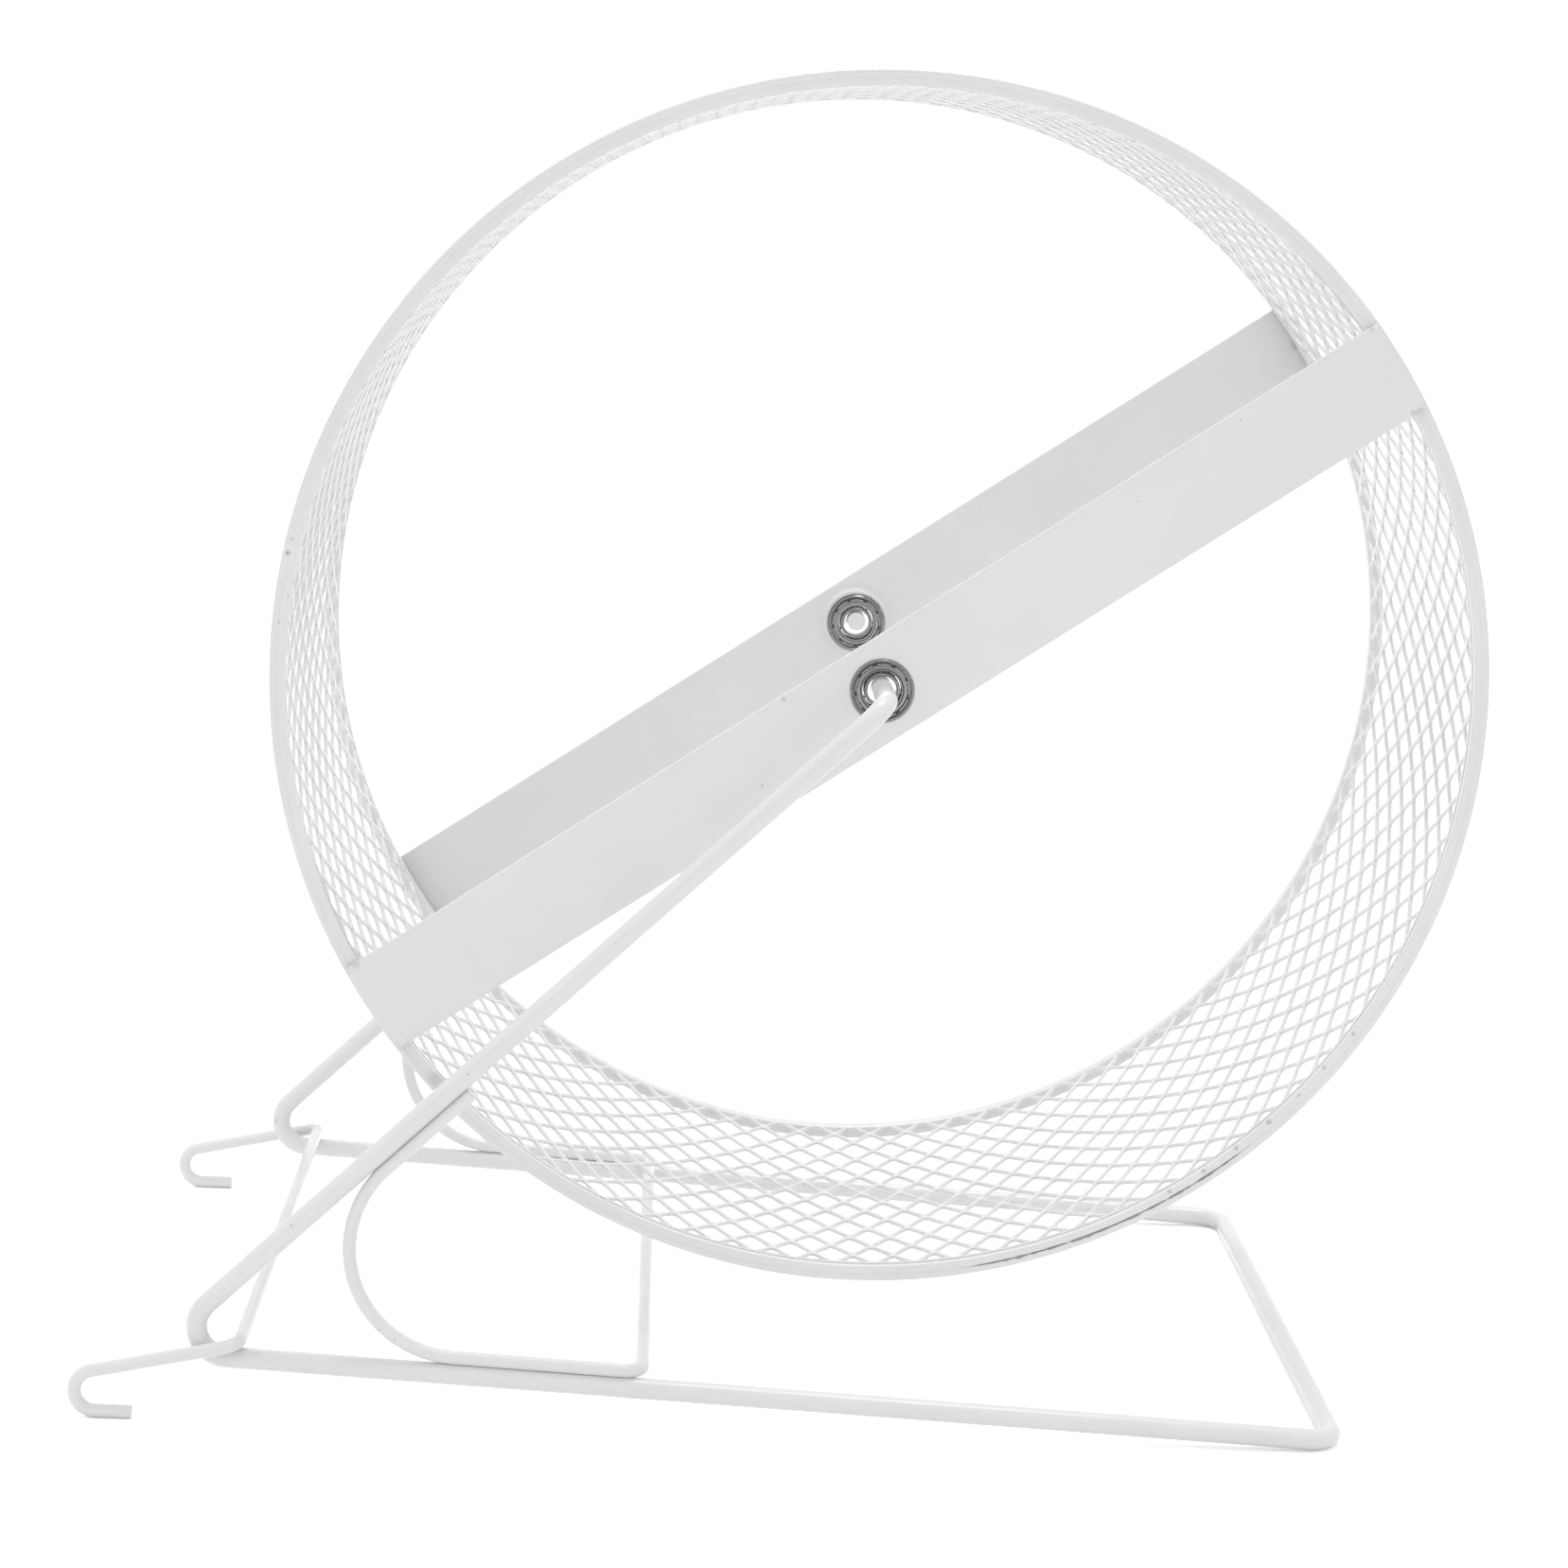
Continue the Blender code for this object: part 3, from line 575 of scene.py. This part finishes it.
def crossbar(name, side):
    """A flat bar across the wheel, its edges eased, with a drawn collar round its bearing."""
    reach = WHEEL_RADIUS - taper_at(side * WHEEL_FACE) - BAR_END_INSET
    inner_face = BAR_OUTER_FACE - BAR_THICKNESS
    bore = BEARING_RADIUS + PRESSED_GAP
    collar = BEARING_RADIUS + BORE_GAP + COLLAR_WALL
    half_end = math.asin(BAR_WIDTH / 2 / reach)
    rays = [FULL_TURN * (ray + 0.5) / BAR_RAYS for ray in range(BAR_RAYS)]
    for middle in (0, FULL_TURN / 2):
        rays += [middle + half_end * (2 * ray / BAR_END_RAYS - 1) for ray in range(BAR_END_RAYS + 1)]
    rays = sorted({round(ray % FULL_TURN, RAY_DIGITS) for ray in rays})

    def outline(inset):
        return lambda ray: min(reach - inset, (BAR_WIDTH / 2 - inset) / max(abs(math.sin(ray)), TINY))

    def circle(radius):
        return lambda ray: radius

    eased = arc((BAR_EDGE, BAR_OUTER_FACE - BAR_EDGE), BAR_EDGE, 0.5 * math.pi, math.pi)
    eased += arc((BAR_EDGE, inner_face + BAR_EDGE), BAR_EDGE, math.pi, 1.5 * math.pi)
    fillet_centre = (collar + COLLAR_FILLET, inner_face - COLLAR_FILLET)
    loops = [(circle(bore), BAR_OUTER_FACE - BORE_EDGE)]
    loops += [(circle(bore + wider), BAR_OUTER_FACE) for wider in (BORE_EDGE, BORE_SUPPORT)]
    loops.append((outline(BAR_EDGE + BAR_SUPPORT), BAR_OUTER_FACE))
    loops += [(outline(inset), y) for inset, y in eased]
    loops.append((outline(BAR_EDGE + BAR_SUPPORT), inner_face))
    loops.append((circle(collar + COLLAR_FILLET + COLLAR_SUPPORT), inner_face))
    for radius, y in arc(fillet_centre, COLLAR_FILLET, 0.5 * math.pi, math.pi):
        loops.append((circle(radius), y))
    loops += [(circle(collar), COLLAR_END + COLLAR_EDGE), (circle(collar - COLLAR_EDGE), COLLAR_END)]
    loops += [(circle(bore + BORE_BACK_EDGE), COLLAR_END), (circle(bore), COLLAR_END + BORE_BACK_EDGE)]
    points = []
    for reach_at, y in loops:
        points += [along(ray) * reach_at(ray) + Vector((0, side * y, 0)) for ray in rays]
    place = Matrix.Translation(AXLE) @ Matrix.Rotation(TILT - BAR_ANGLE, 4, "Y")
    faces = bands(len(loops), len(rays))
    piece(f"{name}_cross_plate", points, faces, "white_powder_coat", "wheel", f"{name}_crossbar", place)


def lattice():
    """The drum of expanded metal: long diamond holes, flat strands between them and a hem at each end."""
    half_turn = 1 / MESH_CELLS_AROUND / 2
    half_length = MESH_END / MESH_CELLS_ACROSS
    around = FULL_TURN * (MESH_OUTSIDE - MESH_BULGE)
    half_width = around * half_turn
    slant = math.hypot(half_width, half_length)
    points = []
    faces = []
    index = {}

    def outside(y):
        return MESH_OUTSIDE - MESH_BULGE * (y / MESH_END) ** 2 - taper_at(y)

    def corner(s, y, depth):
        """The number of the point at this share of a turn, this place along the axle and this depth."""
        key = (round(s % 1, PLACE_DIGITS) % 1, round(y, PLACE_DIGITS), round(depth, DEPTH_DIGITS))
        if key not in index:
            index[key] = len(points)
            inward = depth * (1 - MESH_THIN_SHARE * (y / MESH_END) ** 2)
            points.append(along(FULL_TURN * s) * (outside(y) - inward) + Vector((0, y, 0)))
        return index[key]

    def hole(middle, y, inset):
        """The rounded diamond whose sides run this far inside the cell's own, as (s, y)."""
        share = 1 - inset * slant / (half_width * half_length)
        tips = [Vector((half_width * share, 0)), Vector((0, half_length * share))]
        tips += [-tip for tip in tips]
        loop = []
        for number, tip in enumerate(tips):
            before = tips[number - 1] - tip
            after = tips[(number + 1) % len(tips)] - tip
            cut = min(MESH_CORNER_ROUND, before.length * MESH_CORNER_SHARE)
            start = tip + before.normalized() * cut
            end = tip + after.normalized() * cut
            for u, v in (start, (start + end) / 4 + tip / 2, end):
                loop.append((middle + u / around, y + v))
        return loop

    def cell_outline(middle, y):
        """The cell's own diamond, as (s, y), with a point on each side near either end of it."""
        tips = [(middle + half_turn, y), (middle, y + half_length)]
        tips += [(middle - half_turn, y), (middle, y - half_length)]
        outline = []
        for number, (s, v) in enumerate(tips):
            before = tips[number - 1]
            after = tips[(number + 1) % len(tips)]
            for other, share in ((before, NEAR_NODE_SHARE), (before, 0), (after, NEAR_NODE_SHARE)):
                outline.append((s + (other[0] - s) * share, v + (other[1] - v) * share))
        return outline

    for row in range(2 * MESH_CELLS_ACROSS + 1):
        y = -MESH_END + row * half_length
        for cell in range(MESH_CELLS_AROUND):
            middle = (2 * cell + 1 + row % 2) * half_turn
            outline = cell_outline(middle, y)
            edge = hole(middle, y, MESH_STRAND / 2 * MESH_EDGE_SHARE)
            waist = hole(middle, y, MESH_STRAND / 2)
            loops = [(outline, 0.0), (edge, MESH_EDGE_DEPTH)]
            loops += [(waist, MESH_THICKNESS * share) for share in MESH_WAIST_SHARES]
            loops += [(edge, MESH_THICKNESS - MESH_EDGE_DEPTH), (outline, MESH_THICKNESS)]
            rings = [[corner(s, v, depth) for s, v in loop] for loop, depth in loops]
            for first, second in zip(rings, rings[1:]):
                for number in range(len(first)):
                    faces.append((first[number - 1], first[number], second[number], second[number - 1]))
    faces = [face for face in faces if all(abs(points[number].y) <= MESH_END + TINY for number in face)]
    for end, side in SIDES.items():
        high = outside(side * MESH_END)
        low = high - HEM_THICKNESS
        edge = MESH_END - HEM_WIDTH[end]
        hem = [(low, MESH_END), (low, edge + HEM_EASE), (low + HEM_EASE, edge)]
        hem += [(high - HEM_EASE, edge), (high, edge + HEM_EASE), (high, MESH_END)]
        hem = [(radius, side * y) for radius, y in hem]
        hem_points, hem_faces = turned(lambda angle: hem, RIM_SEGMENTS)
        faces += [tuple(number + len(points) for number in face) for face in hem_faces]
        points += hem_points
    place = Matrix.Translation(AXLE)
    piece("drum_lattice", points, faces, "white_powder_coat", "wheel", "running_mesh", place,
          MESH_SMOOTH_ANGLE)


# Stand


def bent(corners, radii):
    """Rings (point, direction) along a wire through these corners, each rounded to its radius."""
    heading = (corners[1] - corners[0]).normalized()
    rings = [(corners[0], heading)]
    for corner, after, radius in zip(corners[1:], corners[2:], radii):
        ahead = (after - corner).normalized()
        turn = heading.angle(ahead)
        inward = (ahead - heading * ahead.dot(heading)).normalized()
        centre = corner - heading * radius * math.tan(turn / 2) + inward * radius
        steps = max(LEAST_BEND_STEPS, math.ceil(turn / BEND_STEP))
        for step in range(steps + 1):
            angle = turn * step / steps
            point = centre + (heading * math.sin(angle) - inward * math.cos(angle)) * radius
            rings.append((point, heading * math.cos(angle) + inward * math.sin(angle)))
        heading = ahead
    rings.append((corners[-1], heading))
    return rings


def wire(name, rings, diameter, node):
    """A round wire along these rings, with eased ends."""
    radius = diameter / 2
    start, start_heading = rings[0]
    end, end_heading = rings[-1]
    eased = arc((WIRE_END_ROUND, radius - WIRE_END_ROUND), WIRE_END_ROUND, math.pi, 0.5 * math.pi)
    sections = [(start + start_heading * depth, start_heading, reach) for depth, reach in eased]
    sections += [(point, heading, radius) for point, heading in rings[1:-1]]
    sections += [(end - end_heading * depth, end_heading, reach) for depth, reach in reversed(eased)]
    points = []
    before = start_heading
    top = Vector((0, 0, 1)) if abs(start_heading.z) < STEEP else Vector((0, 1, 0))
    for point, direction, reach in sections:
        top = before.rotation_difference(direction) @ top
        top = (top - direction * top.dot(direction)).normalized()
        before = direction
        sideways = direction.cross(top)
        for corner in range(WIRE_SIDES):
            angle = FULL_TURN * corner / WIRE_SIDES
            points.append(point + (top * math.cos(angle) + sideways * math.sin(angle)) * reach)
    faces = bands(len(sections), WIRE_SIDES, closed=False)
    faces.append(tuple(range(WIRE_SIDES)))
    faces.append(tuple(range(len(points) - WIRE_SIDES, len(points))))
    piece(name, points, faces, "white_powder_coat", "stand", node, STAND_PLACE)


def mirrored(corners):
    """These corners of the front half, then the same ones on the rear half in reverse."""
    return corners + [Vector((corner.x, -corner.y, corner.z)) for corner in reversed(corners)]


def stand_wire():
    """The thick wire: a stub in each bearing, two arms, two rails and the bar across their ends."""
    corners = mirrored([
        Vector((0, -STUB_END, STUB_LIFT)),
        Vector((0, -ARM_PLANE, STUB_LIFT)),
        Vector((FOOT_REACH, -ARM_PLANE, -RAIL_DROP)),
        Vector((RAIL_REACH, -ARM_PLANE, -RAIL_DROP)),
    ])
    radii = [STAND_BEND] * (len(corners) - 2)
    wire("stand_wire", bent(corners, radii), STAND_WIRE, "stand_frame")


def brace():
    """The thin wire welded inside the corners of the arms and the rails."""
    arm = along(ARM_SLOPE)
    foot = Vector((FOOT_REACH, -ARM_PLANE, -RAIL_DROP))
    seat = WIRE_SEAT - SEAT_GAP - WELD_OVERLAP
    beside_arm = foot - left_of(arm) * seat
    above_rail = foot.z + seat
    corners = [
        beside_arm + arm * BRACE_ON_ARM,
        beside_arm + arm * (above_rail - beside_arm.z) / arm.z,
        Vector((foot.x + BRACE_ON_RAIL, foot.y, above_rail)),
    ]
    radii = [BRACE_BEND, BRACE_CORNER_BEND, BRACE_CORNER_BEND, BRACE_BEND]
    wire("brace_wire_round", bent(mirrored(corners), radii), THIN_WIRE, "brace_wire")


def hooks():
    """The thin wire across the rails, which ends in a U hook on either side."""
    level = along(TILT)
    leg = -along(HOOK_SLOPE)
    corner = Vector((HOOK_REACH, -HOOK_PLANE, -RAIL_DROP + WIRE_SEAT))
    centre = corner + leg * HOOK_LEG + left_of(leg) * HOOK_BEND
    quarter = (FULL_TURN / 2 - HOOK_SLOPE + TILT) / 4
    reach = HOOK_BEND / math.cos(quarter)
    lower = left_of(level) * -math.cos(quarter) - level * math.sin(quarter)
    upper = -left_of(leg) * math.cos(quarter) + leg * math.sin(quarter)
    corners = [
        centre - left_of(level) * HOOK_BEND + level * HOOK_TAIL,
        centre + lower * reach,
        centre + upper * reach,
        corner,
    ]
    radii = [HOOK_BEND, HOOK_BEND, HOOK_CORNER_BEND]
    wire("hook_wire_round", bent(mirrored(corners), radii + radii[::-1]), THIN_WIRE, "hook_wire")


# Bearings


def bearing_part(name, profile_at, slot_name, body, node, side):
    """A part of a bearing, turned about its axis from a closed (radius, Y) profile."""
    points, faces = turned(profile_at, BEARING_SEGMENTS)
    place = Matrix.Translation(AXLE + Vector((0, side * BEARING_PLACE, 0)))
    piece(name, points, faces, slot_name, body, node, place, BEARING_SMOOTH_ANGLE)


def race(prefix, role, half, track_middle, track_half, body, side):
    """One of a bearing's rings: half of its section, the balls' track and the other half."""
    start = track_middle + track_half
    end = track_middle - track_half
    track = arc((PITCH_RADIUS, 0), TRACK_RADIUS, start, end, TRACK_STEPS)
    profile = half + track + [(radius, -y) for radius, y in reversed(half)]
    bearing_part(f"{prefix}_bearing_{role}_race", lambda angle: profile, "bearing_ring_steel", body,
                 f"{prefix}_bearing_{role}_ring", side)


def cover(prefix, role, direction, side):
    """A pressed shield with a curled rim that is notched all round."""
    pitch = FULL_TURN / NOTCHES

    def profile_at(angle):
        off = abs((angle - NOTCH_PHASE[prefix] + pitch / 2) % pitch - pitch / 2)
        notch = NOTCH_DEPTH * min(1, max(0, NOTCH_REACH_SHARE - off / NOTCH_HALF))
        top = []
        for radius, depth, share in COVER_STEPS:
            top.append((radius * MM, BEARING_FACE - depth * MM - notch * share))
        under = [(radius, y - COVER_THICKNESS) for radius, y in reversed(top)]
        return [(radius, direction * y) for radius, y in top + under]

    bearing_part(f"{prefix}_bearing_{role}_cover", profile_at, "bearing_shield_steel", "wheel",
                 f"{prefix}_bearing_{role}_shield", side)


def bearing(prefix, side):
    """A shielded bearing: two rings with chamfered edges, two shields, and its own cage and balls."""
    half = [(BEARING_RADIUS, BEARING_FACE - RACE_CHAMFER), (BEARING_RADIUS - RACE_CHAMFER, BEARING_FACE)]
    half += [(SEAT_RADIUS + SEAT_EASE, BEARING_FACE), (SEAT_RADIUS, BEARING_FACE - SEAT_EASE)]
    half += [(SEAT_RADIUS, SEAT_FLOOR), (SHOULDER_RADIUS, SEAT_FLOOR)]
    race(prefix, "outer", half, 0, OUTER_TRACK_HALF, "wheel", side)
    half = [(BEARING_BORE_RADIUS, BEARING_FACE - BORE_CHAMFER)]
    half += [(BEARING_BORE_RADIUS + BORE_CHAMFER, BEARING_FACE)]
    half += [(LAND_RADIUS - LAND_EDGE, BEARING_FACE), (LAND_RADIUS, BEARING_FACE - LAND_EDGE)]
    race(prefix, "inner", half, math.pi, -INNER_TRACK_HALF, "stand", side)
    cover(prefix, "outer", side, side)
    cover(prefix, "inner", -side, side)
    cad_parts[f"{prefix}_bearing_cage"].material_slots[0].material = finishes["bearing_cage_steel"]
    for ball in range(1, BALLS + 1):
        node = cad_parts[f"{prefix}_bearing_ball_{ball}"]
        node.material_slots[0].material = finishes["bearing_ball_steel"]


for prefix, side in SIDES.items():
    rim(prefix, side)
    crossbar(prefix, side)
    bearing(prefix, side)
lattice()
stand_wire()
brace()
hooks()


# Floor, light and camera


def background_share(tree):
    """1 for rays that see the background as it is: the camera's, mirrored and refracted ones."""
    path = tree.nodes.new("ShaderNodeLightPath")
    total = path.outputs["Is Camera Ray"]
    for other in ("Is Glossy Ray", "Is Transmission Ray"):
        total = scalar_math(tree, "MAXIMUM", total, path.outputs[other])
    return total


def floor():
    """A pale floor. Seen directly it is white, and glows more with distance, so that no horizon shows."""
    mesh = bpy.data.meshes.new("floor")
    corners = [(-FLOOR_REACH, -FLOOR_REACH, 0), (FLOOR_REACH, -FLOOR_REACH, 0)]
    corners += [(FLOOR_REACH, FLOOR_REACH, 0), (-FLOOR_REACH, FLOOR_REACH, 0)]
    mesh.from_pydata(corners, [], [(0, 1, 2, 3)])
    made, tree, shader = nodes_of("pale_floor")
    seen = background_share(tree)
    tree.links.new(mixed(tree, seen, FLOOR_LIT, WHITE), shader.inputs["Base Color"])
    away = vector_math(tree, "LENGTH", object_place(tree)).outputs["Value"]
    glow = mapped(tree, away, *FLOOR_GLOW_REACH, *FLOOR_GLOW)
    tree.links.new(scalar_math(tree, "MULTIPLY", glow, seen), shader.inputs["Emission Strength"])
    shader.inputs["Emission Color"].default_value = (*WHITE, 1)
    shader.inputs["Roughness"].default_value = 1
    shader.inputs["Specular IOR Level"].default_value = 0
    mesh.materials.append(made)
    obj = bpy.data.objects.new("floor", mesh)
    bpy.context.scene.collection.objects.link(obj)


def sky():
    """A white tent of light, brighter behind the object. It is seen as plain white."""
    world = bpy.data.worlds.new("studio")
    world.use_nodes = True
    tree = world.node_tree
    behind = tree.nodes.new("ShaderNodeSeparateXYZ")
    tree.links.new(tree.nodes.new("ShaderNodeTexCoord").outputs["Generated"], behind.inputs[0])
    seen = tree.nodes.new("ShaderNodeMix")
    seen.inputs["B"].default_value = 1
    tree.links.new(background_share(tree), seen.inputs["Factor"])
    strength = mapped(tree, behind.outputs["Y"], 0, 1, SKY_LIGHT, SKY_LIGHT + SKY_BEHIND)
    tree.links.new(strength, seen.inputs["A"])
    light = tree.nodes["Background"]
    light.inputs["Color"].default_value = (*WHITE, 1)
    tree.links.new(seen.outputs["Result"], light.inputs["Strength"])
    bpy.context.scene.world = world


def lamp(name, place, size, power):
    """A round soft lamp that points at the axle."""
    light = bpy.data.lights.new(name, "AREA")
    light.shape = "DISK"
    light.size = size
    light.energy = power
    obj = bpy.data.objects.new(name, light)
    obj.location = place
    obj.rotation_euler = (AXLE - place).to_track_quat("-Z", "Y").to_euler()
    bpy.context.scene.collection.objects.link(obj)


def camera():
    """The camera at the photograph's place, with the photograph's focal length."""
    yaw = Matrix.Rotation(-CAMERA_YAW, 3, "Z")
    ahead = yaw @ Vector((0, math.cos(CAMERA_PITCH), -math.sin(CAMERA_PITCH)))
    level = ahead.cross(Vector((0, 0, 1))).normalized()
    right = Matrix.Rotation(-CAMERA_ROLL, 3, ahead) @ level
    turn = Matrix((right, right.cross(ahead), -ahead)).transposed().to_4x4()
    data = bpy.data.cameras.new("camera")
    data.sensor_width = CAMERA_SENSOR
    data.lens = CAMERA_SENSOR * CAMERA_FOCAL_SHARE
    data.clip_end = CAMERA_SIGHT
    obj = bpy.data.objects.new("camera", data)
    obj.matrix_world = STAND_PLACE @ Matrix.Translation(CAMERA_PLACE) @ turn
    bpy.context.scene.collection.objects.link(obj)
    bpy.context.scene.camera = obj


floor()
sky()
for name, (place, size, power) in LAMPS.items():
    lamp(name, place, size, power)
camera()
bpy.context.scene.view_settings.view_transform = "Standard"
